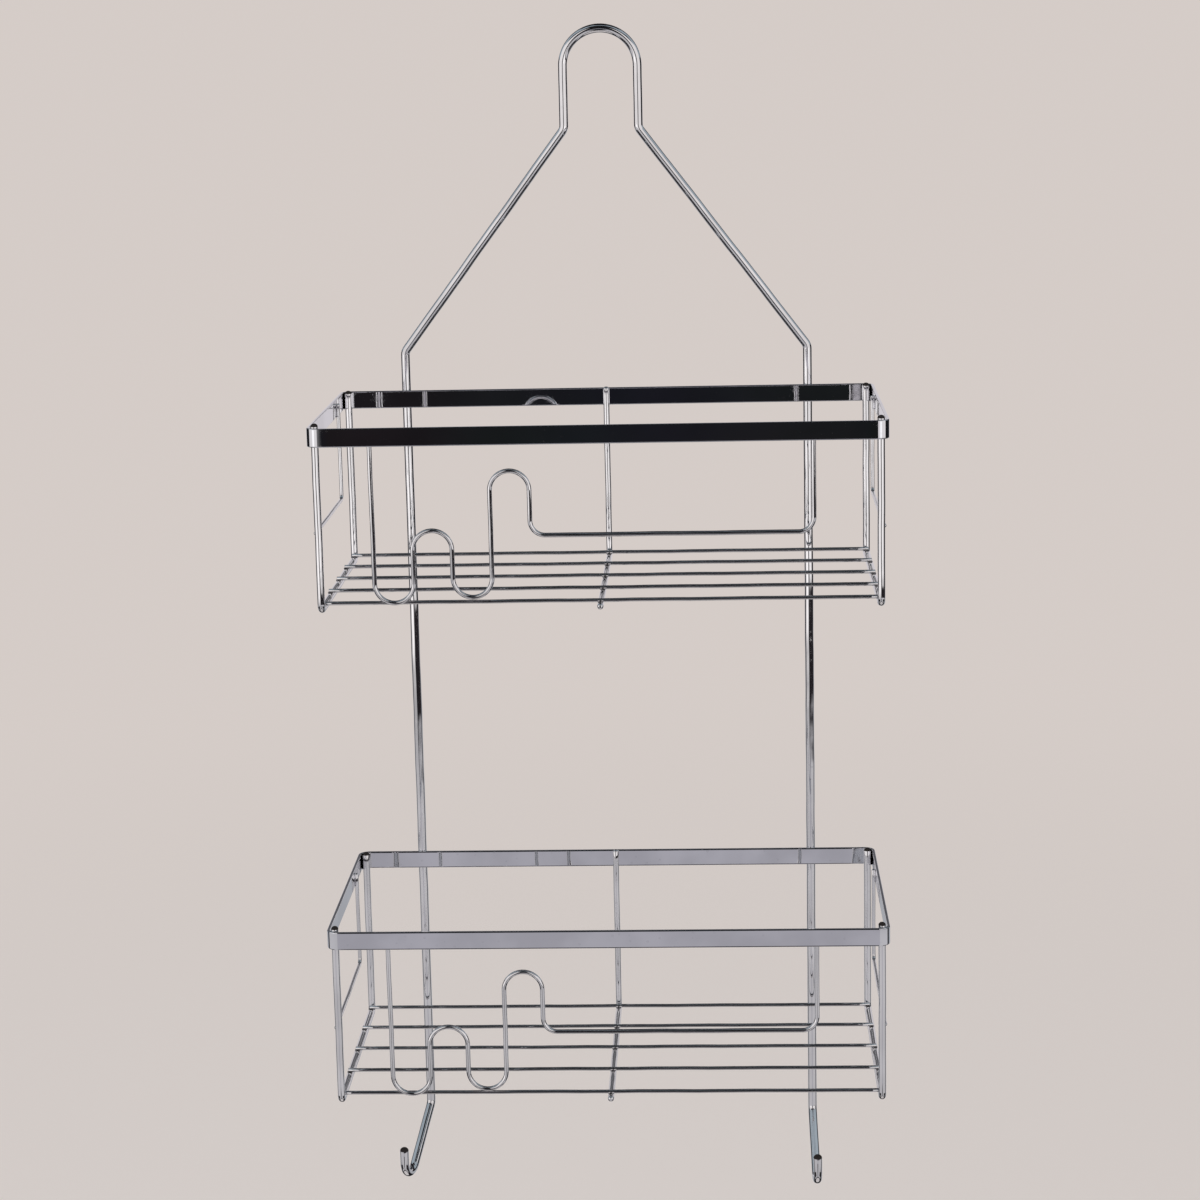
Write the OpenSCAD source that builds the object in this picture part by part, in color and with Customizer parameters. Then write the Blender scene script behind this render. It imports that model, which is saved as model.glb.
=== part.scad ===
// Two-tier hanging shower caddy, welded from bent round wire and two flat steel rim bands.
// Millimetres. The origin is where the hang loop rests on a shower arm: the lowest point of the
// inside of the loop's top. +Z points up, +X to the right, and +Y to the wall behind the caddy.

/* [Baskets] */
// Outside width of each basket
basket_w = 290; // [280:1:330]
// Outside depth of each basket, front to back
basket_d = 140; // [120:1:170]
// Height of a basket, from the top of its rim to the middle of its base wires
basket_h = 93; // [92:0.5:110]
// Drop from the resting point of the loop to the top of the upper rim
upper_drop = 190; // [185:1:210]
// Height between the rims of the two baskets
basket_pitch = 262; // [220:1:280]

/* [Rim band] */
// Height of the flat band
band_h = 9.5; // [8:0.5:14]
// Thickness of the flat band
band_t = 1.6; // [1.5:0.1:2]
// Outside radius of the band's corners
band_corner_r = 6; // [5:0.5:7]

/* [Wires] */
// Diameter of the hanging frame's wire
frame_d = 4.8; // [4:0.1:6]
// Diameter of the side wires
side_d = 3.8; // [3.2:0.1:4.2]
// Diameter of the centre wire
centre_d = 3.2; // [2.8:0.1:3.4]
// Diameter of the wavy front guard
guard_d = 2.4; // [2:0.1:2.6]
// Diameter of the floor wires and of the side guards
floor_d = 2; // [1.8:0.1:2.2]
// Number of floor wires in each basket
floor_wires = 5; // [4:1:8]
// Middle-line radius of the bends at the foot of the side wires and the centre wire
foot_bend_r = 3.2; // [3.2:0.1:5]
// Height of the side wires' front ends above the rim's top edge
front_proud = 2.2; // [0.2:0.1:3]
// Height of the other upright ends above the rim's top edge
back_proud = 0.8; // [0.2:0.1:3]

/* [Hanging frame] */
// Middle-line radius of the hang loop
loop_r = 20; // [16:0.5:24]
// Drop from the resting point to the corner of the neck
neck_drop = 50.5; // [45:0.5:60]
// Drop from the resting point to the corner of the shoulder
shoulder_drop = 169; // [150:1:175]
// Sideways distance from the middle to each upright leg
leg_x = 109.5; // [100:0.5:120]
// Drop from the resting point to the corner where the left leg turns into its hook
left_leg_drop = 603.5; // [600:0.5:650]
// Drop from the resting point to the corner where the right leg turns into its hook
right_leg_drop = 608; // [600:0.5:650]
// Middle-line radius of the neck, shoulder and leg bends
frame_bend_r = 6; // [5:0.5:8]

/* [Hooks] */
// Forward distance from the leg to the hook's tip
hook_reach = 39; // [36:1:46]
// Angle between the upright leg and the sloping part of the hook, in degrees
hook_slope = 43.5; // [38:0.5:50]
// Middle-line radius of the hook's U turn
hook_r = 8; // [7:0.5:10]
// Straight length of the hook's tip
hook_tip = 9.5; // [8:0.5:14]
// How far the left hook is turned out to its side, in degrees
left_hook_turn = 18; // [0:1:20]
// How far the right hook is turned out to its side, in degrees
right_hook_turn = 2; // [0:1:20]

/* [Front guard] */
// Distance of the wave's first leg, left of the middle
wave_x = 113.5; // [112:0.5:118]
// Distance between the legs of the wave
wave_pitch = 19.8; // [18:0.2:20]
// Drop of the wave's first valley below the top of the rim
valley_1_drop = 90; // [90:0.5:91.5]
// Drop of the wave's second valley below the top of the rim
valley_2_drop = 87.5; // [86:0.5:91.5]
// Drop of the wave's short crest below the top of the rim
crest_1_drop = 53; // [45:0.5:60]
// Drop of the wave's tall crest below the top of the rim
crest_2_drop = 23; // [14:0.5:32]
// Drop of the long bar below the top of the rim
bar_drop = 56; // [50:0.5:64]
// Distance of the guard's last leg, right of the middle
bar_x = 107.4; // [100:0.2:112]
// Middle-line radius of the bends at both ends of the bar
bar_bend_r = 7.5; // [6:0.5:9]

/* [Side guards] */
// Distance from the front of the basket to the side guard's upright leg
side_guard_in = 106; // [70:1:120]
// Drop of the side guard's rail below the top of the rim
side_guard_drop = 54; // [40:1:66]

/* [Hidden] */
BASKETS = ["upper", "lower"];
PIECES = ["rim_band", "left_side_wire", "right_side_wire", "centre_wire", "front_guard",
          "left_side_guard", "right_side_guard"];

$fn = 48;

chrome = [0.78, 0.79, 0.81];
dark_chrome = [0.5, 0.51, 0.55];

weld = 0.1;         // how far two welded pieces sink into each other
guard_end = 2;      // the thin guards end this far below the rim's top edge
centre_tip = 2.5;   // the centre wire ends this far behind the rim's front face
bend_thinning = 0.01;   // a bend draws the wire down by this share of its diameter
bend_lap = 2;       // degrees that a bend runs on into the straight wire

frame_top = frame_d / 2;
back_y = -frame_d / 2 + weld;
front_y = back_y - basket_d;

// The side wires nest in the rim's rounded corners.
corner_in = band_corner_r - (band_corner_r - band_t - side_d / 2 + weld / 2) / sqrt(2);
side_x = basket_w / 2 - corner_in;

// The floor wires lie across the base runs of the side wires and the centre wire.
floor_in = corner_in + foot_bend_r;
floor_z = -basket_h + (side_d + floor_d) / 2 - weld;
floor_half = side_x + side_d / 4;
floor_step = (basket_d - 2 * floor_in) / (floor_wires - 1);
centre_y = back_y - band_t - centre_d / 2 + weld;
centre_drop = (floor_d + centre_d) / 2 - weld - floor_z;    // from the rim's top to its base run

// The front guard leans back a little, from the inside of the rim to the first floor wire.
guard_top_y = front_y + band_t + guard_d / 2 - weld;
guard_foot_y = front_y + floor_in - (floor_d + guard_d) / 2 + weld;

side_guard_x = basket_w / 2 - band_t - floor_d / 2 + weld;
side_guard_front = front_y + corner_in + side_d / 2 - weld;

guard_lean = atan((guard_foot_y - guard_top_y) / (-floor_z - guard_end));

function rim_z(b) = b == "upper" ? -upper_drop : -upper_drop - basket_pitch;

// ---- bent wire ----

// A bend through an angle, of middle-line radius r. It starts at the origin along +Z and turns
// towards +X. It runs on a little at both ends, inside the straight wire that it joins.
module bend(d, r, angle) {
    translate([r, 0, 0]) rotate([90, 0, 180]) rotate([0, 0, -bend_lap])
        rotate_extrude(angle = angle + 2 * bend_lap)
            translate([r, 0]) circle(d = d * (1 - bend_thinning));
}

// Round wire that starts at the origin along +Z. Each step is [straight length, bend radius,
// bend angle, twist]: the wire runs straight, then turns towards +X, or towards -X where the
// angle is negative. A twist first turns those directions about the wire. The last step is only
// a straight length.
module wire(d, steps, i = 0) {
    length = steps[i][0];
    cylinder(d = d, h = length);
    if (i < len(steps) - 1) {
        r = steps[i][1];
        angle = steps[i][2];
        twist = is_undef(steps[i][3]) ? 0 : steps[i][3];
        side = sign(angle);
        translate([0, 0, length]) rotate([0, 0, twist]) {
            rotate([0, 0, side > 0 ? 0 : 180]) bend(d, r, abs(angle));
            translate([side * r, 0, 0]) rotate([0, angle, 0]) translate([-side * r, 0, 0])
                wire(d, steps, i + 1);
        }
    }
}

// ---- hanging frame ----

neck_angle = atan2(leg_x - loop_r, shoulder_drop - neck_drop);
neck_cut = frame_bend_r * tan(neck_angle / 2);      // what a bend takes off each straight
hook_cut = frame_bend_r * tan(hook_slope / 2);
u_turn_cut = hook_r / tan(hook_slope / 2);

// One side of the frame, from the foot of the loop down to the tip of its hook. The hook points
// to the front, turned out to its side by an angle.
module frame_side(leg_drop, turned) {
    steps = [[frame_top - loop_r + neck_drop - neck_cut, frame_bend_r, neck_angle],
             [norm([leg_x - loop_r, shoulder_drop - neck_drop]) - 2 * neck_cut,
              frame_bend_r, -neck_angle],
             [leg_drop - shoulder_drop - neck_cut - hook_cut,
              frame_bend_r, hook_slope, turned - 90],
             [hook_reach / sin(hook_slope) - hook_cut - u_turn_cut, hook_r, 180 - hook_slope],
             [hook_tip]];
    translate([loop_r, 0, frame_top - loop_r]) mirror([0, 0, 1]) wire(frame_d, steps);
}

module hanging_frame() {
    color(chrome) {
        translate([-loop_r, 0, frame_top - loop_r]) bend(frame_d, loop_r, 180);
        frame_side(right_leg_drop, right_hook_turn);
        mirror([1, 0, 0]) frame_side(left_leg_drop, left_hook_turn);
    }
}

// ---- basket: each piece is drawn with the top of its rim at z = 0 ----

// Flat band bent into a rectangle with round corners.
module rim_band(b) {
    long = basket_w - 2 * band_corner_r;
    short = basket_d - 2 * band_corner_r;
    color(b == "upper" ? dark_chrome : chrome)
        translate([0, (front_y + back_y) / 2, -band_h]) {
            for (m = [0, 1]) mirror([0, m, 0])
                translate([-long / 2, basket_d / 2 - band_t, 0]) cube([long, band_t, band_h]);
            for (m = [0, 1]) mirror([m, 0, 0])
                translate([basket_w / 2 - band_t, -short / 2, 0]) cube([band_t, short, band_h]);
            for (mx = [0, 1], my = [0, 1]) mirror([mx, 0, 0]) mirror([0, my, 0])
                translate([long / 2, short / 2, 0]) rotate_extrude(angle = 90)
                    translate([band_corner_r - band_t, 0]) square([band_t, band_h]);
        }
}

// U-shaped wire: down inside a front corner, back along the base and up inside a back corner.
module side_wire(side) {
    upright = basket_h - foot_bend_r;
    run = basket_d - 2 * floor_in;
    steps = [[upright + front_proud, foot_bend_r, 90], [run, foot_bend_r, 90],
             [upright + back_proud]];
    color(chrome)
        translate([side * side_x, front_y + corner_in, front_proud]) rotate([180, 0, 90])
            wire(side_d, steps);
}

// L-shaped wire: down the inside of the back band and forward under the floor wires.
module centre_wire() {
    upright = centre_drop + back_proud - foot_bend_r;
    run = centre_y - foot_bend_r - front_y - centre_tip;
    color(chrome)
        translate([0, centre_y, back_proud]) rotate([180, 0, -90])
            wire(centre_d, [[upright, foot_bend_r, 90], [run]]);
}

// Floor wire number i, counted from the front.
module floor_wire(i) {
    y = front_y + floor_in + (i - 1) * floor_step;
    color(dark_chrome)
        translate([-floor_half, y, floor_z]) rotate([0, 90, 0])
            cylinder(d = floor_d, h = 2 * floor_half);
}

// Razor and loop holders on the left, bent from the same wire as the long bar.
module front_guard() {
    r = wave_pitch / 2;
    bar_length = bar_x - (4 * wave_pitch - wave_x) - 2 * bar_bend_r;
    steps = [[valley_1_drop - r - guard_end, r, 180],
             [valley_1_drop - crest_1_drop - 2 * r, r, -180],
             [valley_2_drop - crest_1_drop - 2 * r, r, 180],
             [valley_2_drop - crest_2_drop - 2 * r, r, -180],
             [bar_drop - bar_bend_r - crest_2_drop - r, bar_bend_r, 90],
             [bar_length, bar_bend_r, 90],
             [bar_drop - bar_bend_r - guard_end]];
    color(chrome)
        translate([-wave_x, guard_top_y, -guard_end]) rotate([180 + guard_lean, 0, 0])
            wire(guard_d, steps);
}

// Short L: hung from the side band and welded to the back of the front leg.
module side_guard(side) {
    upright = side_guard_drop - guard_end - foot_bend_r;
    run = front_y + side_guard_in - foot_bend_r - side_guard_front;
    color(chrome)
        translate([side * side_guard_x, front_y + side_guard_in, -guard_end])
            rotate([180, 0, -90]) wire(floor_d, [[upright, foot_bend_r, 90], [run]]);
}

// ---- nodes ----

hanging_frame();
for (b = BASKETS) translate([0, 0, rim_z(b)]) {
    rim_band(b);
    side_wire(-1);
    side_wire(1);
    centre_wire();
    front_guard();
    side_guard(-1);
    side_guard(1);
    for (i = [1:floor_wires])
        floor_wire(i);
}
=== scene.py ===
"""Looks of the two-tier hanging shower caddy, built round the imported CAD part.

Every CAD node is a bent wire or a bent flat strip. Each is rebuilt here as one smooth chromed
piece of the same size and place, and the welds between them are added. Metres, +Z up, +Y to the
wall, and the origin where the hang loop rests.
"""
import math

import bmesh
import bpy
from mathutils import Matrix, Vector


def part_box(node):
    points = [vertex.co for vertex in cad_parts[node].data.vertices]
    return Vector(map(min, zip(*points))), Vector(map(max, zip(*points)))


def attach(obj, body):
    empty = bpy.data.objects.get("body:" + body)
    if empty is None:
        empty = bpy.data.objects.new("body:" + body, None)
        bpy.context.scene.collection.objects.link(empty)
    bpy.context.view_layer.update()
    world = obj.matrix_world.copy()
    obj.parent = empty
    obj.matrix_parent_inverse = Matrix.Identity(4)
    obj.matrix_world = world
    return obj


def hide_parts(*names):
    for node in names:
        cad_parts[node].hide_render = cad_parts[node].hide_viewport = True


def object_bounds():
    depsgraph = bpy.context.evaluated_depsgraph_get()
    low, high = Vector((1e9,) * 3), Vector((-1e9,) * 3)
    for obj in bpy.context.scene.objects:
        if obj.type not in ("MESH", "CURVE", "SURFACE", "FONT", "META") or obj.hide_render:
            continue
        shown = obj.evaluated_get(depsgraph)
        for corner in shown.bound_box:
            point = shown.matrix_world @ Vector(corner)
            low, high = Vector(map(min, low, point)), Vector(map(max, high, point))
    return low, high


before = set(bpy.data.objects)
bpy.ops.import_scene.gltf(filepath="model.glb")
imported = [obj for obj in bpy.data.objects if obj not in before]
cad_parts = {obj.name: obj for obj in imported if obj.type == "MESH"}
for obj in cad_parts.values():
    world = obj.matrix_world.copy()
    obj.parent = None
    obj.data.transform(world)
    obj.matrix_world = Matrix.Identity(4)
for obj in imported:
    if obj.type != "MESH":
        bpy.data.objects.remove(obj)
cad_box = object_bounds()

MM, CM = 0.001, 0.01
X, Y, Z = Vector((1, 0, 0)), Vector((0, 1, 0)), Vector((0, 0, 1))

# ---- sizes of the CAD part, in metres and degrees ----
FRAME_D = 4.8 * MM
SIDE_D = 3.8 * MM
CENTRE_D = 3.2 * MM
GUARD_D = 2.4 * MM
FLOOR_D = 2.0 * MM
BAND_T = 1.6 * MM
BAND_CORNER_R = 6 * MM
BAND_EDGE_R = 0.4 * MM
FOOT_BEND_R = 3.2 * MM
FRONT_PROUDER = 1.4 * MM    # how much higher a side wire's front end stands than its back end
WELD = 0.1 * MM             # how far two welded pieces sink into each other
GUARD_END = 2 * MM          # how far below the rim's top edge the guards end

LOOP_R = 20 * MM
NECK_DROP = 50.5 * MM
SHOULDER_DROP = 169 * MM
LEG_X = 109.5 * MM
LEG_DROP = {-1: 603.5 * MM, 1: 608 * MM}    # -1 is the left side, 1 the right
FRAME_BEND_R = 6 * MM
HOOK_REACH = 39 * MM
HOOK_SLOPE = 43.5           # from straight down
HOOK_R = 8 * MM
HOOK_TIP = 9.5 * MM
HOOK_TURN = {-1: 18, 1: 2}  # outwards from straight ahead

WAVE_PITCH = 19.8 * MM
VALLEY_DROPS = (90 * MM, 87.5 * MM)
CREST_DROPS = (53 * MM, 23 * MM)
BAR_DROP = 56 * MM
BAR_BEND_R = 7.5 * MM

TIERS = ("upper", "lower")
FLOOR_WIRES = 5

# ---- how the pieces are meshed ----
TUBE_SIDES = 28             # faces round a wire
BEND_STEP = 4               # degrees of bend between two rings
STRAIGHT_STEP = 6 * MM      # length of straight wire between two rings
BLUNT, CROWNED = 0.12, 0.85     # height of a rounded cut end, as a share of the wire's radius
END_RINGS = 5               # rings over that height
EDGE_CUTS = 5               # cuts round each rolled edge of a band
SHARP = 30                  # degrees between two faces, past which the edge between is drawn sharp

# ---- how a straight length of wire wanders ----
WANDER = 0.07 * MM          # how far it strays from a true line
WANDER_WAVE = 55 * MM       # the length of its long wave
RIPPLE_WAVE = 0.37          # the length of its short wave, as a share of the long one
RIPPLE = 0.5                # and the height of the short wave
PHASE = Vector((610, 970, 430))     # radians that the waves shift with each metre of the start


# ---- paths ----

def stray(start, ahead, length):
    """Points along a straight length of wire that wanders a little sideways, never to the front
    or back. It leaves and ends on the true line. A wire that runs front to back wanders along X."""
    cuts = max(1, round(length / STRAIGHT_STEP))
    across = ahead.cross(Y)
    across = across.normalized() if across.length > 0.5 else X
    phase = start.dot(PHASE)
    points = []
    for k in range(1, cuts + 1):
        way = length * k / cuts
        calm = math.sin(math.pi * k / cuts) * min(1.0, length / WANDER_WAVE)
        wave = math.sin(2 * math.pi * way / WANDER_WAVE + phase)
        wave += RIPPLE * math.sin(2 * math.pi * way / (RIPPLE_WAVE * WANDER_WAVE) + 2 * phase)
        points.append((start + ahead * way + across * (WANDER * calm * wave), ahead.copy()))
    return points


def bent(start, heading, side, steps):
    """Points and headings along a bent wire. Each step is (straight length, bend radius, angle,
    twist): the wire runs straight, then turns towards side, or away from it where the angle is
    negative. A twist first turns side about the wire. The last step is only a straight length."""
    at, ahead, side = start.copy(), heading.normalized(), side.normalized()
    path = [(at.copy(), ahead.copy())]
    for step in steps:
        path += stray(at, ahead, step[0])
        at = at + ahead * step[0]
        if len(step) == 1:
            continue
        radius, angle = step[1:3]
        twist = step[3] if len(step) > 3 else 0
        side = Matrix.Rotation(math.radians(twist), 3, ahead) @ side
        inward = side if angle > 0 else -side
        axis = ahead.cross(inward)
        middle = at + inward * radius
        arm, first = at - middle, ahead
        cuts = max(2, math.ceil(abs(angle) / BEND_STEP))
        for k in range(1, cuts + 1):
            turn = Matrix.Rotation(math.radians(abs(angle)) * k / cuts, 3, axis)
            at, ahead = middle + turn @ arm, turn @ first
            path.append((at.copy(), ahead.copy()))
        side = turn @ side
    return path


def straight(start, end):
    return bent(start, end - start, (end - start).orthogonal(), [[(end - start).length]])


# ---- meshes ----

def mesh_piece(name, bm, materials):
    """A smooth-shaded object from bm, in the scene."""
    mesh = bpy.data.meshes.new(name)
    bm.normal_update()
    bm.to_mesh(mesh)
    bm.free()
    for material in materials:
        mesh.materials.append(material)
    piece = bpy.data.objects.new(name, mesh)
    bpy.context.scene.collection.objects.link(piece)
    return piece


def tube(name, path, d, crown, materials):
    """Round wire along path, with rounded cut ends. Material 0 is the wall, 1 the cut ends.
    The UV map holds the way round the wire and the length along it, both in centimetres."""
    bm = bmesh.new()
    uv = bm.loops.layers.uv.new("wire")
    r = d / 2
    (first, first_dir), (last, last_dir) = path[0], path[-1]
    stations = [(at, ahead, r) for at, ahead in path[1:-1]]
    for k in range(END_RINGS, 0, -1):
        a = math.radians(90 * k / END_RINGS)
        depth, radius = crown * r * (1 - math.cos(a)), r * math.sin(a)
        stations.insert(0, (first + first_dir * depth, first_dir, radius))
        stations.append((last - last_dir * depth, last_dir, radius))
    across = first_dir.orthogonal().normalized()
    rings, lengths, before, length = [], [], first_dir, 0.0
    for k, (at, ahead, radius) in enumerate(stations):
        across = before.rotation_difference(ahead) @ across
        across = (across - ahead * across.dot(ahead)).normalized()
        before = ahead
        if k:
            length += (at - stations[k - 1][0]).length
        other = ahead.cross(across)
        ring = []
        for i in range(TUBE_SIDES):
            a = 2 * math.pi * i / TUBE_SIDES
            ring.append(bm.verts.new(at + (across * math.cos(a) + other * math.sin(a)) * radius))
        rings.append(ring)
        lengths.append(length)
    for k in range(len(rings) - 1):
        for i in range(TUBE_SIDES):
            j = (i + 1) % TUBE_SIDES
            face = bm.faces.new((rings[k][i], rings[k][j], rings[k + 1][j], rings[k + 1][i]))
            face.smooth = True
            to_nearer_end = min(k, len(rings) - 2 - k)
            face.material_index = int(to_nearer_end < END_RINGS - 1)
            corners = ((i, k), (i + 1, k), (i + 1, k + 1), (i, k + 1))
            for loop, (u, v) in zip(face.loops, corners):
                loop[uv].uv = (u / TUBE_SIDES * math.pi * d / CM, lengths[v] / CM)
    for ring, flip in ((rings[0], True), (rings[-1], False)):
        face = bm.faces.new(ring[::-1] if flip else ring)
        face.material_index = 1
    for edge in bm.edges:
        if edge.calc_face_angle(0) > math.radians(SHARP):
            edge.smooth = False
    return mesh_piece(name, bm, materials)


def strip_outline(t, h, edge_r):
    """Cross-section of the flat band, from its middle: (outwards, up), with rolled corners. The
    points beside each roll keep the shading of the flats flat."""
    points = []
    for sx, sz, start in ((1, 1, 0), (-1, 1, 90), (-1, -1, 180), (1, -1, 270)):
        middle = Vector((sx * (t / 2 - edge_r), sz * (h / 2 - edge_r)))
        arc = []
        for k in range(EDGE_CUTS + 1):
            a = math.radians(start + 90 * k / EDGE_CUTS)
            arc.append(middle + Vector((math.cos(a), math.sin(a))) * edge_r)
        before = Vector((math.sin(math.radians(start)), -math.cos(math.radians(start))))
        after = Vector((-math.sin(math.radians(start + 90)), math.cos(math.radians(start + 90))))
        points += [arc[0] + before * edge_r, *arc, arc[-1] + after * edge_r]
    return [tuple(point) for point in points]


def band(name, lo, hi, materials):
    """Flat strip bent into a rectangle with round corners. The UV map is as on a tube."""
    bm = bmesh.new()
    uv = bm.loops.layers.uv.new("wire")
    outline = strip_outline(BAND_T, hi.z - lo.z, BAND_EDGE_R)
    middle, z = (lo + hi) / 2, (lo.z + hi.z) / 2
    half_x, half_y = (hi.x - lo.x) / 2 - BAND_CORNER_R, (hi.y - lo.y) / 2 - BAND_CORNER_R
    corner_r = BAND_CORNER_R - BAND_T / 2
    stations = []
    for quarter in range(4):
        sx, sy = ((1, 1), (-1, 1), (-1, -1), (1, -1))[quarter]
        centre = Vector((middle.x + sx * half_x, middle.y + sy * half_y, z))
        cuts = 90 // BEND_STEP
        for k in range(cuts + 1):
            a = math.radians(90 * quarter + 90 * k / cuts)
            out = Vector((math.cos(a), math.sin(a), 0))
            stations.append((centre + out * corner_r, out))
        run = 2 * (half_x if quarter % 2 == 0 else half_y)
        steps = max(1, round(run / STRAIGHT_STEP))
        ahead = Vector((-out.y, out.x, 0))
        for k in range(1, steps):
            stations.append((centre + out * corner_r + ahead * run * k / steps, out))
    rings, lengths, length = [], [], 0.0
    for k, (at, out) in enumerate(stations):
        if k:
            length += (at - stations[k - 1][0]).length
        lengths.append(length)
        rings.append([bm.verts.new(at + out * a + Z * b) for a, b in outline])
    lengths.append(length + (stations[0][0] - stations[-1][0]).length)
    n, round_way = len(outline), [0.0]
    for i in range(n):
        a, b = Vector(outline[i]), Vector(outline[(i + 1) % n])
        round_way.append(round_way[-1] + (b - a).length)
    for k in range(len(rings)):
        here, there = rings[k], rings[(k + 1) % len(rings)]
        for i in range(n):
            j = (i + 1) % n
            face = bm.faces.new((here[i], there[i], there[j], here[j]))
            face.smooth = True
            corners = ((i, k), (i, k + 1), (i + 1, k + 1), (i + 1, k))
            for loop, (u, v) in zip(face.loops, corners):
                loop[uv].uv = (round_way[u] / CM, lengths[v] / CM)
    bmesh.ops.recalc_face_normals(bm, faces=bm.faces)
    return mesh_piece(name, bm, materials)


# ---- materials ----

def add_node(tree, kind, inputs=None, **settings):
    """A node with its settings and inputs. An input that is a socket is linked."""
    made = tree.nodes.new(kind)
    for key, value in settings.items():
        setattr(made, key, value)
    for key, value in (inputs or {}).items():
        if isinstance(value, bpy.types.NodeSocket):
            tree.links.new(value, made.inputs[key])
        else:
            made.inputs[key].default_value = value
    return made


def math_node(tree, operation, *values):
    return add_node(tree, "ShaderNodeMath", dict(enumerate(values)),
                    operation=operation).outputs[0]


def ramp(tree, value, span, ends):
    """A smooth step from one of ends to the other while value crosses span."""
    return add_node(tree, "ShaderNodeMapRange", {0: value, 1: span[0], 2: span[1], 3: ends[0],
                    4: ends[1]}, interpolation_type="SMOOTHSTEP").outputs[0]


def blend_colour(tree, factor, a, b):
    made = add_node(tree, "ShaderNodeMix", data_type="RGBA")
    for socket, value in ((made.inputs[0], factor), (made.inputs[6], a), (made.inputs[7], b)):
        if isinstance(value, bpy.types.NodeSocket):
            tree.links.new(value, socket)
        else:
            socket.default_value = value
    return made.outputs[2]


def noise(tree, where, scale, detail, roughness=0.5, output="Fac"):
    """Soft noise about 0.5. It has scale lumps to a unit of where, and detail finer layers."""
    return add_node(tree, "ShaderNodeTexNoise", {"Vector": where, "Scale": scale,
                    "Detail": detail, "Roughness": roughness}).outputs[output]


def place(tree):
    """Where a point is on its piece, in the piece's own metres."""
    return add_node(tree, "ShaderNodeTexCoord").outputs["Object"]


def new_material(name):
    """A material, its node tree and its Principled shader."""
    material = bpy.data.materials.new(name)
    material.use_nodes = True
    return material, material.node_tree, material.node_tree.nodes["Principled BSDF"]


def roughen(tree, shader, height, strength, depth):
    """Bump from height, which is depth metres deep where it is 1."""
    bump = add_node(tree, "ShaderNodeBump", {"Height": height, "Strength": strength,
                    "Distance": depth})
    tree.links.new(bump.outputs[0], shader.inputs["Normal"])


def shade(tint, share):
    """tint, made darker or lighter, as an opaque colour."""
    return [c * share for c in tint] + [1.0]


def chrome(name, tint, rough, haze, die_lines):
    """Bright chrome plate: a slow drift in colour, hazy patches, water spots and faint lines
    along the wire from the drawing die."""
    material, tree, shader = new_material(name)
    shader.inputs["Metallic"].default_value = 1.0
    where = place(tree)
    drift = noise(tree, where, scale=26.0, detail=3.0, roughness=0.55)
    patches = noise(tree, where, scale=140.0, detail=4.0, roughness=0.6)
    spots = add_node(tree, "ShaderNodeTexVoronoi", {"Vector": where, "Scale": 210.0,
                     "Randomness": 1.0}).outputs["Distance"]
    spot = ramp(tree, spots, span=(0.10, 0.20), ends=(1.0, 0.0))
    along = add_node(tree, "ShaderNodeUVMap", uv_map="wire").outputs[0]
    stretched = add_node(tree, "ShaderNodeMapping", {"Vector": along,
                         "Scale": (38.0, 0.9, 1.0)}).outputs[0]
    lines = noise(tree, stretched, scale=1.0, detail=2.0)
    drifting = ramp(tree, drift, span=(0.35, 0.65), ends=(0.0, 1.0))
    colour = blend_colour(tree, drifting, shade(tint, 0.9), shade(tint, 1.05))
    dried = math_node(tree, "MULTIPLY", spot, 0.25)
    spotted = blend_colour(tree, dried, colour, shade(tint, 0.82))
    tree.links.new(spotted, shader.inputs["Base Color"])
    hazy = ramp(tree, patches, span=(0.42, 0.7), ends=(rough, rough + haze))
    dull = math_node(tree, "MULTIPLY", spot, 0.05)
    tree.links.new(math_node(tree, "ADD", hazy, dull), shader.inputs["Roughness"])
    fine = math_node(tree, "MULTIPLY", lines, die_lines)
    height = math_node(tree, "ADD", fine, drift)
    roughen(tree, shader, height, strength=0.12, depth=0.3 * MM)
    return material


def weld_painted_shade(name):
    """Plate over a weld: rippled and half matt, and dark with painted shade for the shadow and dark
    reflection where wires cross and meet the bands.
    """
    material, tree, shader = new_material(name)
    shader.inputs["Metallic"].default_value = 1.0
    ripple = noise(tree, place(tree), scale=900.0, detail=3.0)
    rise = ramp(tree, ripple, span=(0.35, 0.65), ends=(0.0, 1.0))
    # painted shade: the dark weld colour stands in for shadow and dark reflection at the crossings
    colour = blend_colour(tree, rise, (0.09, 0.08, 0.08, 1.0), (0.38, 0.36, 0.36, 1.0))
    tree.links.new(colour, shader.inputs["Base Color"])
    matt = ramp(tree, ripple, span=(0.3, 0.7), ends=(0.3, 0.14))
    tree.links.new(matt, shader.inputs["Roughness"])
    roughen(tree, shader, ripple, strength=0.4, depth=0.2 * MM)
    return material


def cut_end_painted_reflection(name):
    """The sheared end of a wire, painted near-black as a painted reflection of the dark room above
    it; matt and coarse.
    """
    material, tree, shader = new_material(name)
    shader.inputs["Metallic"].default_value = 0.25
    shader.inputs["Specular IOR Level"].default_value = 0.15
    grain = noise(tree, place(tree), scale=2600.0, detail=3.0)
    # painted reflection: the near-black stands in for the dark room that the wire's end mirrors
    colour = blend_colour(tree, grain, (0.012, 0.011, 0.011, 1.0), (0.05, 0.045, 0.045, 1.0))
    tree.links.new(colour, shader.inputs["Base Color"])
    matt = ramp(tree, grain, span=(0.3, 0.7), ends=(0.5, 0.75))
    tree.links.new(matt, shader.inputs["Roughness"])
    roughen(tree, shader, grain, strength=0.5, depth=0.1 * MM)
    return material


# ---- pieces ----

def stand_in(piece, node):
    """piece rides on the one body, in place of its CAD node."""
    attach(piece, "root")
    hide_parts(node)


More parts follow.
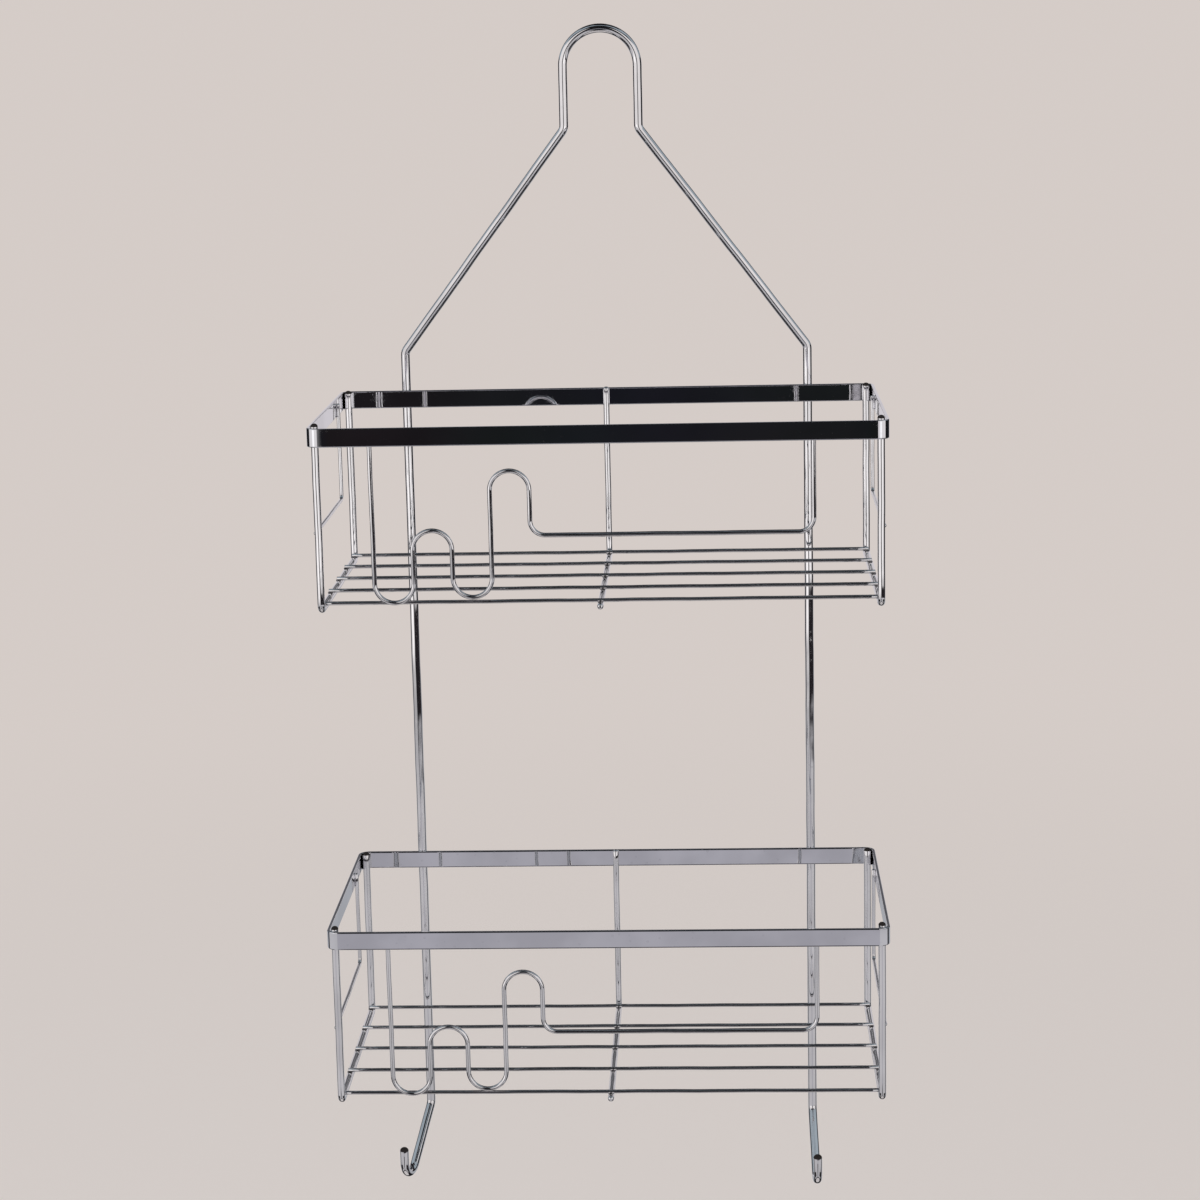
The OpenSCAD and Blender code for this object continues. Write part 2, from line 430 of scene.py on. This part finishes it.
def hanging_frame(materials):
    """One wire: left hook, left leg, shoulder, neck, loop, and down the right side the same."""
    neck = math.degrees(math.atan2(LEG_X - LOOP_R, SHOULDER_DROP - NECK_DROP))
    neck_cut = FRAME_BEND_R * math.tan(math.radians(neck / 2))
    hook_cut = FRAME_BEND_R * math.tan(math.radians(HOOK_SLOPE / 2))
    u_cut = HOOK_R / math.tan(math.radians(HOOK_SLOPE / 2))
    top = FRAME_D / 2
    foot = [top - LOOP_R + NECK_DROP - neck_cut, FRAME_BEND_R, neck]
    slant = [math.hypot(LEG_X - LOOP_R, SHOULDER_DROP - NECK_DROP) - 2 * neck_cut,
             FRAME_BEND_R, -neck]
    slope = HOOK_REACH / math.sin(math.radians(HOOK_SLOPE)) - hook_cut - u_cut
    halves = []
    for side in (-1, 1):
        leg = LEG_DROP[side] - SHOULDER_DROP - neck_cut - hook_cut
        steps = [foot, slant, [leg, FRAME_BEND_R, HOOK_SLOPE, side * (90 - HOOK_TURN[side])],
                 [slope, HOOK_R, 180 - HOOK_SLOPE], [HOOK_TIP]]
        halves.append(bent(Vector((side * LOOP_R, 0, top - LOOP_R)), -Z, X * side, steps))
    left, right = halves
    loop = bent(Vector((-LOOP_R, 0, top - LOOP_R)), Z, X, [[0, LOOP_R, 180]])
    # From the left tip to the right one. The loop's first two points are at the same place.
    path = [(at, -ahead) for at, ahead in reversed(left)][:-1] + loop[2:-1] + right
    piece = tube("hanging_frame_chromed", path, FRAME_D, CROWNED, materials)
    stand_in(piece, "hanging_frame")


def side_wire(tier, side, materials):
    node = f"{tier}_{side}_side_wire"
    lo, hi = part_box(node)
    r = SIDE_D / 2
    upright = hi.z - lo.z - r - FOOT_BEND_R
    run = hi.y - lo.y - SIDE_D - 2 * FOOT_BEND_R
    start = Vector(((lo.x + hi.x) / 2, lo.y + r, hi.z))
    steps = [[upright, FOOT_BEND_R, 90], [run, FOOT_BEND_R, 90], [upright - FRONT_PROUDER]]
    path = bent(start, -Z, Y, steps)
    stand_in(tube(node + "_chromed", path, SIDE_D, CROWNED, materials), node)


def centre_wire(tier, materials):
    node = f"{tier}_centre_wire"
    lo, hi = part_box(node)
    r = CENTRE_D / 2
    start = Vector(((lo.x + hi.x) / 2, hi.y - r, hi.z))
    steps = [[hi.z - lo.z - r - FOOT_BEND_R, FOOT_BEND_R, 90],
             [hi.y - lo.y - r - FOOT_BEND_R]]
    path = bent(start, -Z, -Y, steps)
    stand_in(tube(node + "_chromed", path, CENTRE_D, CROWNED, materials), node)


def floor_wire(tier, number, materials):
    node = f"{tier}_floor_wire_{number}"
    lo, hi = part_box(node)
    y, z = (lo.y + hi.y) / 2, (lo.z + hi.z) / 2
    path = straight(Vector((lo.x, y, z)), Vector((hi.x, y, z)))
    stand_in(tube(node + "_chromed", path, FLOOR_D, BLUNT, materials), node)


def side_guard(tier, side, materials):
    node = f"{tier}_{side}_side_guard"
    lo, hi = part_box(node)
    r = FLOOR_D / 2
    start = Vector(((lo.x + hi.x) / 2, hi.y - r, hi.z))
    steps = [[hi.z - lo.z - r - FOOT_BEND_R, FOOT_BEND_R, 90],
             [hi.y - lo.y - r - FOOT_BEND_R]]
    path = bent(start, -Z, -Y, steps)
    stand_in(tube(node + "_chromed", path, FLOOR_D, CROWNED, materials), node)


def front_guard(tier, materials):
    """Two valleys and two crests for razors and loops, then the long bar, from one wire that
    leans back from the rim to the first floor wire."""
    node = f"{tier}_front_guard"
    lo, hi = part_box(node)
    rim_lo, rim_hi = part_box(f"{tier}_rim_band")
    floor_lo, floor_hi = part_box(f"{tier}_floor_wire_1")
    top_y = rim_lo.y + BAND_T + GUARD_D / 2 - WELD
    foot_y = (floor_lo.y + floor_hi.y) / 2 - (FLOOR_D + GUARD_D) / 2 + WELD
    foot_drop = rim_hi.z - GUARD_END - (floor_lo.z + floor_hi.z) / 2
    lean = math.atan2(foot_y - top_y, foot_drop)
    r = WAVE_PITCH / 2
    first_x, last_x = lo.x + GUARD_D / 2, hi.x - GUARD_D / 2
    bar = last_x - first_x - 4 * WAVE_PITCH - 2 * BAR_BEND_R
    low_1, low_2 = VALLEY_DROPS
    high_1, high_2 = CREST_DROPS
    steps = [[low_1 - r - GUARD_END, r, 180],
             [low_1 - high_1 - 2 * r, r, -180],
             [low_2 - high_1 - 2 * r, r, 180],
             [low_2 - high_2 - 2 * r, r, -180],
             [BAR_DROP - BAR_BEND_R - high_2 - r, BAR_BEND_R, 90],
             [bar, BAR_BEND_R, 90],
             [BAR_DROP - BAR_BEND_R - GUARD_END]]
    down = Vector((0, math.sin(lean), -math.cos(lean)))
    start = Vector((first_x, top_y, rim_hi.z - GUARD_END))
    path = bent(start, down, X, steps)
    stand_in(tube(node + "_chromed", path, GUARD_D, BLUNT, materials), node)


def rim_band(tier, materials):
    node = f"{tier}_rim_band"
    stand_in(band(node + "_chromed", *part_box(node), materials), node)


# ---- welds ----

BEAD_CUTS = 10              # rings of a bead
# Half-sizes of the beads along x, y and z.
CROSSING = (1.425 * MM, 1.995 * MM, 0.665 * MM)     # a floor wire across a base run
VALLEY = (1.52 * MM, 0.475 * MM, 0.76 * MM)         # a front guard against the first floor wire
RAIL_END = (0.665 * MM, 0.665 * MM, 0.855 * MM)     # a side guard's rail against its side wire
RAIL_END_IN = 0.475 * MM    # how far that bead lies in from the rail's middle
SEAM_OUT = 0.95 * MM        # from the middle of a wire to the seams beside it on a band
SEAM = (0.57 * MM, 0.4275 * MM)     # half-sizes of a seam across and into the band
SEAM_SHORT = 0.3 * MM       # how far a seam stops from the band's edges
BUTT = (0.7 * MM, 0.08 * MM)        # half-sizes of the seam that closes a rim band
BUTT_SHORT = 0.1 * MM
BUTT_AT = 0.55              # its place on the back, as a share of the rim's half-width


def bead(bm, middle, size):
    """A smooth lump of weld: an ellipsoid with a half-size along each axis."""
    placed = Matrix.Translation(middle) @ Matrix.Diagonal((*size, 1.0))
    made = bmesh.ops.create_uvsphere(bm, u_segments=2 * BEAD_CUTS, v_segments=BEAD_CUTS,
                                     radius=1.0, matrix=placed)
    for vert in made["verts"]:
        for face in vert.link_faces:
            face.smooth = True


def seam(bm, x, y, lo_z, hi_z):
    """The squeezed-out metal down both sides of a wire that is welded to a band."""
    for side in (-1, 1):
        spot = Vector((x + side * SEAM_OUT, y, (lo_z + hi_z) / 2))
        bead(bm, spot, (*SEAM, (hi_z - lo_z) / 2))


def middle_of(node):
    lo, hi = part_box(node)
    return (lo + hi) / 2


def floor_welds(bm, tier):
    """Where the floor wires cross the base runs of the side wires and of the centre wire."""
    for number in range(1, FLOOR_WIRES + 1):
        across = middle_of(f"{tier}_floor_wire_{number}")
        contact = across.z - FLOOR_D / 2 + WELD / 2
        for under in ("left_side_wire", "centre_wire", "right_side_wire"):
            bead(bm, Vector((middle_of(f"{tier}_{under}").x, across.y, contact)), CROSSING)


def guard_welds(bm, tier):
    """Where the front guard and the side guards meet the floor and the side wires."""
    guard_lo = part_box(f"{tier}_front_guard")[0]
    first = middle_of(f"{tier}_floor_wire_1")
    valley_x = guard_lo.x + GUARD_D / 2 + WAVE_PITCH / 2
    bead(bm, Vector((valley_x, first.y - FLOOR_D / 2, first.z)), VALLEY)
    for side, inward in (("left", X), ("right", -X)):
        lo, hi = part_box(f"{tier}_{side}_side_guard")
        rail = Vector(((lo.x + hi.x) / 2, lo.y, lo.z + FLOOR_D / 2))
        bead(bm, rail + inward * RAIL_END_IN, RAIL_END)


def rim_welds(bm, tier):
    """The seams on the rim band: at the legs, the centre wire, the ends of the front guard, and
    the butt seam that closes the band."""
    lo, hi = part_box(f"{tier}_rim_band")
    low, high = lo.z + SEAM_SHORT, hi.z - SEAM_SHORT
    for side in (-1, 1):
        seam(bm, side * LEG_X, hi.y, low, high)
    seam(bm, middle_of(f"{tier}_centre_wire").x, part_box(f"{tier}_centre_wire")[1].y, low, high)
    guard_lo, guard_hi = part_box(f"{tier}_front_guard")
    for x in (guard_lo.x + GUARD_D / 2, guard_hi.x - GUARD_D / 2):
        seam(bm, x, lo.y + BAND_T, low, high - GUARD_END)
    butt = Vector((hi.x * BUTT_AT, hi.y, (lo.z + hi.z) / 2))
    bead(bm, butt, (*BUTT, (hi.z - lo.z) / 2 - BUTT_SHORT))


def welds(tier, material):
    """Every weld of one basket, and the two that hold it to the hanging frame."""
    bm = bmesh.new()
    rim_welds(bm, tier)
    guard_welds(bm, tier)
    floor_welds(bm, tier)
    piece = mesh_piece(f"{tier}_welds", bm, [material])
    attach(piece, "root")


# ---- studio ----

PALE = (0.665, 0.605, 0.575, 1.0)       # the plain backdrop
FLOOR_GAP = 0.25                        # from the lowest hook to the floor
FLOOR_HALF = 30                         # half the floor's width
FLOOR_NEAR, FLOOR_FAR = 0.5, 2.2        # the floor fades into the backdrop between these
LAMP_AT = (-0.4, -0.6, 2.2)
LAMP_WIDE, LAMP_WATTS = 2.5, 14

# The camera is at the photograph's viewing angle: its place, and its turns in degrees.
CAMERA_AT = (0.05742, -1.47362, 0.00626)
CAMERA_LEFT, CAMERA_DOWN, CAMERA_ROLL = 2.4385, 10.805, -1.2347
SENSOR, LENS = 36, 81.64                # both in millimetres
SHIFT_UP = -0.05                        # as a share of the picture

# What the chrome mirrors: soft panels round the object, in a dim room. Azimuth is measured from
# the front, in degrees to either side or to one; elevation is above the horizon. A later panel
# covers an earlier one.
ROOM = (0.006, 0.006, 0.008, 1.0)
ROOM_DAPPLE = 0.012                     # share of soft coloured dapple in the dim room
DAPPLE_SCALE = 9.0
PANELS = [
    # colour, side, azimuth from and to, elevation from and to, softness

    # the ground
    ((0.62, 0.59, 0.59, 1.0), "both", -20, 200, -95, -65, 5),
    # the walls at the sides: their bright upper part, and their lower part
    ((0.88, 0.85, 0.85, 1.0), "left", 11, 92, -14, 30, 3),
    ((0.86, 0.83, 0.83, 1.0), "right", 7, 80, -14, 30, 3),
    ((0.56, 0.55, 0.57, 1.0), "left", 11, 102, -58, -14, 3),
    ((0.56, 0.55, 0.57, 1.0), "right", 7, 98, -58, -14, 3),
    # a dark strip low on both, for the lower edge of the slanting wires
    ((0.03, 0.028, 0.03, 1.0), "both", 46, 112, -50, -25.5, 4),
    # a window in each, for the bright line down the upper uprights
    ((1.35, 1.33, 1.33, 1.0), "left", 36, 56, -13, -4, 3),
    ((1.25, 1.24, 1.25, 1.0), "right", 24, 42, -13, -4, 3),
    # cool light in an arch overhead, for the slopes of the hooks
    ((0.36, 0.42, 0.47, 1.0), "both", -20, 30, 62, 71, 2),
    ((0.36, 0.42, 0.47, 1.0), "both", 30, 62, 44, 76, 4),
    ((0.36, 0.42, 0.47, 1.0), "both", 60, 84, 30, 70, 4),
    ((0.36, 0.42, 0.47, 1.0), "both", 82, 125, 10, 60, 4),
    # the wall behind: low, level and high
    ((0.40, 0.41, 0.44, 1.0), "both", 122, 200, -36, -13, 4),
    ((0.66, 0.63, 0.66, 1.0), "both", 146, 200, -13, 10.8, 2),
    ((0.12, 0.12, 0.13, 1.0), "both", 146, 200, 10.8, 40, 2),
    # a grey panel low in front, for the lower rim
    ((0.44, 0.43, 0.47, 1.0), "both", -20, 12, -23, -15.5, 1.5),
    # a dark rail on the right, for the right half of the legs between the baskets
    ((0.02, 0.017, 0.02, 1.0), "right", 5, 120, -14.9, -11.8, 1.2),
]


def window(tree, value, low, high, soft):
    """1 where value lies between low and high, and 0 outside, with soft edges."""
    rise = ramp(tree, value, span=(low - soft / 2, low + soft / 2), ends=(0.0, 1.0))
    fall = ramp(tree, value, span=(high - soft / 2, high + soft / 2), ends=(1.0, 0.0))
    return math_node(tree, "MULTIPLY", rise, fall)


def studio():
    """The backdrop, which only glossy rays see as the room with its panels."""
    world = bpy.data.worlds.new("studio")
    bpy.context.scene.world = world
    world.use_nodes = True
    tree = world.node_tree
    tree.nodes.clear()
    direction = add_node(tree, "ShaderNodeTexCoord").outputs["Generated"]
    split = add_node(tree, "ShaderNodeSeparateXYZ", {0: direction}).outputs
    back = math_node(tree, "MULTIPLY", split["Y"], -1.0)
    azimuth = math_node(tree, "DEGREES", math_node(tree, "ARCTAN2", split["X"], back))
    either = math_node(tree, "ABSOLUTE", azimuth)
    elevation = math_node(tree, "DEGREES", math_node(tree, "ARCSINE", split["Z"]))
    sides = {"both": either, "right": azimuth, "left": math_node(tree, "MULTIPLY", azimuth, -1.0)}
    dapple = noise(tree, direction, DAPPLE_SCALE, detail=2.0, output="Color")
    colour = blend_colour(tree, ROOM_DAPPLE, ROOM, dapple)
    for panel, side, az_lo, az_hi, el_lo, el_hi, soft in PANELS:
        across = window(tree, sides[side], az_lo, az_hi, soft)
        up = window(tree, elevation, el_lo, el_hi, soft)
        colour = blend_colour(tree, math_node(tree, "MULTIPLY", across, up), colour, panel)
    mirrored = add_node(tree, "ShaderNodeBackground", {"Color": colour}).outputs[0]
    plain = add_node(tree, "ShaderNodeBackground", {"Color": PALE}).outputs[0]
    glossy = add_node(tree, "ShaderNodeLightPath").outputs["Is Glossy Ray"]
    mixed = add_node(tree, "ShaderNodeMixShader", {0: glossy, 1: plain, 2: mirrored}).outputs[0]
    add_node(tree, "ShaderNodeOutputWorld", {"Surface": mixed})


def floor_paint():
    """Matt pale paint that fades into the backdrop's own colour with distance."""
    material, tree, shader = new_material("floor")
    shader.inputs["Base Color"].default_value = (0.86, 0.86, 0.86, 1.0)
    shader.inputs["Roughness"].default_value = 0.9
    distance = add_node(tree, "ShaderNodeVectorMath", {0: place(tree)},
                        operation="LENGTH").outputs["Value"]
    fade = ramp(tree, distance, span=(FLOOR_NEAR, FLOOR_FAR), ends=(0.0, 1.0))
    far = add_node(tree, "ShaderNodeEmission", {"Color": PALE}).outputs[0]
    mixed = add_node(tree, "ShaderNodeMixShader", {0: fade, 1: shader.outputs[0], 2: far})
    tree.links.new(mixed.outputs[0], tree.nodes["Material Output"].inputs["Surface"])
    return material


def floor(lowest):
    bm = bmesh.new()
    bmesh.ops.create_grid(bm, x_segments=1, y_segments=1, size=FLOOR_HALF)
    piece = mesh_piece("floor", bm, [floor_paint()])
    piece.location.z = lowest - FLOOR_GAP
    piece.visible_glossy = False


def soft_light():
    light = bpy.data.lights.new("overhead", "AREA")
    light.shape = "DISK"
    light.size = LAMP_WIDE
    light.energy = LAMP_WATTS
    lamp = bpy.data.objects.new("overhead", light)
    lamp.location = LAMP_AT
    lamp.visible_glossy = False
    bpy.context.scene.collection.objects.link(lamp)


def camera():
    data = bpy.data.cameras.new("camera")
    data.sensor_width = SENSOR
    data.lens = LENS
    data.shift_y = SHIFT_UP
    shot = bpy.data.objects.new("camera", data)
    turned = Matrix.Rotation(math.radians(CAMERA_LEFT), 4, "Z")
    tilted = Matrix.Rotation(math.radians(90 - CAMERA_DOWN), 4, "X")
    rolled = Matrix.Rotation(math.radians(CAMERA_ROLL), 4, "Z")
    shot.matrix_world = Matrix.Translation(CAMERA_AT) @ turned @ tilted @ rolled
    bpy.context.scene.collection.objects.link(shot)
    bpy.context.scene.camera = shot


bpy.context.scene.view_settings.view_transform = "Standard"

# end holds the near-black painted reflection for the wire ends
end = cut_end_painted_reflection("cut_end_painted_reflection")
# the fine wires' tint is a little darker than the other chrome: painted shade, to darken the floor
# wires and guards
wire_tint, fine_tint_painted_shade, band_tint = (0.82, 0.81, 0.82), (0.80, 0.79, 0.80), (0.78, 0.78, 0.81)
frame_chrome = chrome("chrome_frame", wire_tint, rough=0.02, haze=0.05, die_lines=0.05)
wire_chrome = chrome("chrome_wire", wire_tint, rough=0.02, haze=0.05, die_lines=0.05)
fine_chrome_painted_shade = chrome("chrome_fine_wire", fine_tint_painted_shade, rough=0.03, haze=0.05, die_lines=0.05)
# the welds' dark colour is painted shade
weld_metal_painted_shade = weld_painted_shade("weld_painted_shade")
band_chrome = chrome("chrome_band", band_tint, rough=0.015, haze=0.03, die_lines=0.0)

# The ends of the centre wires and of the side guards are chrome, and the others are painted
# near-black, a painted reflection of the dark room above.
hanging_frame([frame_chrome, end])
for tier in TIERS:
    rim_band(tier, [band_chrome])
    centre_wire(tier, [wire_chrome, wire_chrome])
    front_guard(tier, [fine_chrome_painted_shade, end])
    welds(tier, weld_metal_painted_shade)
    for side in ("left", "right"):
        side_wire(tier, side, [wire_chrome, end])
        side_guard(tier, side, [fine_chrome_painted_shade, fine_chrome_painted_shade])
    for number in range(1, FLOOR_WIRES + 1):
        floor_wire(tier, number, [fine_chrome_painted_shade, end])

studio()
floor(cad_box[0].z)
soft_light()
camera()
